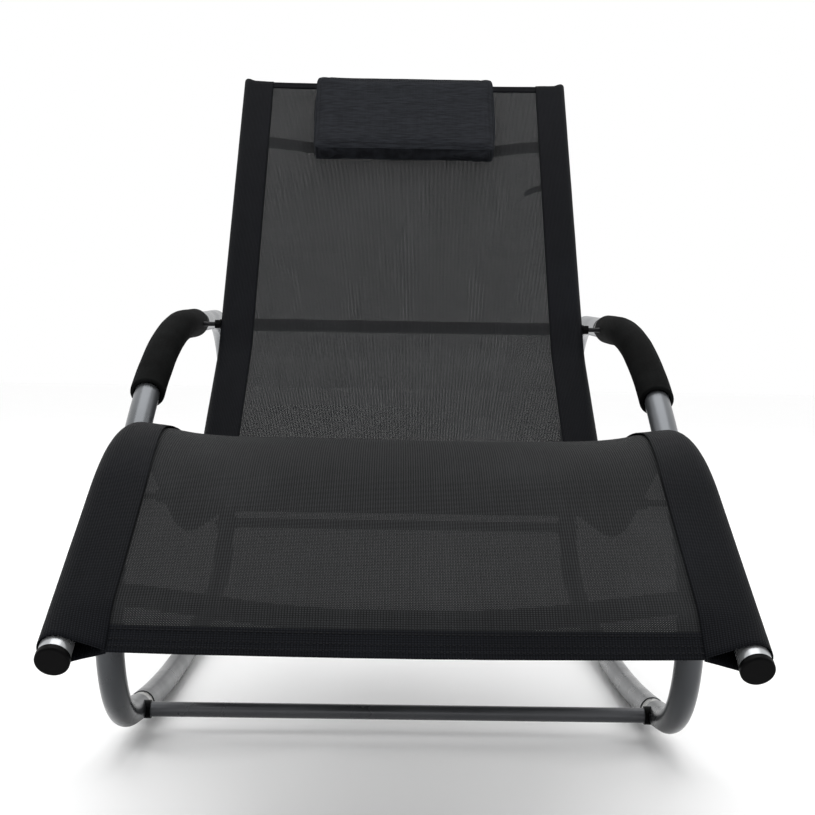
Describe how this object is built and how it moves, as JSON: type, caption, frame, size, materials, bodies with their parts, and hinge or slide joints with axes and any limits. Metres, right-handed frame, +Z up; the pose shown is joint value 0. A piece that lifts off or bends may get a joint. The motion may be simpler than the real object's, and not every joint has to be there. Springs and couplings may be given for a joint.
{
  "type": "camp rocking chair",
  "caption": "Reclining camp rocking chair: a see-through mesh sling on two S-bent rails, carried by closed tubular rocker rings with foam armrests and a head pillow.",
  "frame": {"origin": "centre of the overall footprint, on the floor under the rockers", "axes": "+X to the right as seen from the foot end, +Y from the foot end towards the head end, +Z up"},
  "size_m": [0.6065, 1.4537, 0.8325],
  "materials": {
    "ring_paint": "satin",
    "bar_paint": "satin",
    "rail_steel": "satin",
    "bare_zinc": "satin",
    "grip_foam": "matte",
    "mesh_fabric": "matte",
    "sleeve_fabric": "matte",
    "pillow_fabric": "matte",
    "pillow_filling": "matte",
    "tab_webbing": "matte",
    "rod_plastic": "matte",
    "black_plastic": "satin",
    "fastener_steel": "satin"
  },
  "bodies": {
    "frame": {"arm_foam_left": "grip_foam", "arm_foam_right": "grip_foam", "arm_insert_left": "bare_zinc", "arm_insert_right": "bare_zinc", "calf_crossbar": "bar_paint", "crossbar_collars": "black_plastic", "crossbar_plugs": "black_plastic", "crossbar_screws": "fastener_steel", "floor_insert_left": "bare_zinc", "floor_insert_right": "bare_zinc", "foot_cap_left": "black_plastic", "foot_cap_right": "black_plastic", "foot_hem": "mesh_fabric", "head_cap_left": "black_plastic", "head_cap_right": "black_plastic", "head_crossbar": "bar_paint", "head_hem": "mesh_fabric", "lumbar_crossbar": "bar_paint", "rail_left": "rail_steel", "rail_right": "rail_steel", "ring_bolts": "fastener_steel", "ring_crossbar_bolts": "fastener_steel", "ring_crossbar_front": "ring_paint", "ring_crossbar_rear": "ring_paint", "ring_front_left": "ring_paint", "ring_front_right": "ring_paint", "ring_rear_left": "ring_paint", "ring_rear_right": "ring_paint", "seam_tab": "tab_webbing", "sleeve_left": "sleeve_fabric", "sleeve_right": "sleeve_fabric", "sling_mesh": "mesh_fabric", "spacer_nuts": "black_plastic", "thigh_crossbar": "bar_paint"},
    "pillow": {"pillow_cover": "pillow_fabric", "pillow_filling": "pillow_filling", "pillow_hanger": "pillow_fabric", "hanger_rod": "rod_plastic"}
  },
  "joints": [
    {"name": "pillow_lift", "type": "slide", "parent": "frame", "child": "pillow", "axis": [0, 0.5646, 0.8254], "range_m": [0, 0.09]}
  ]
}
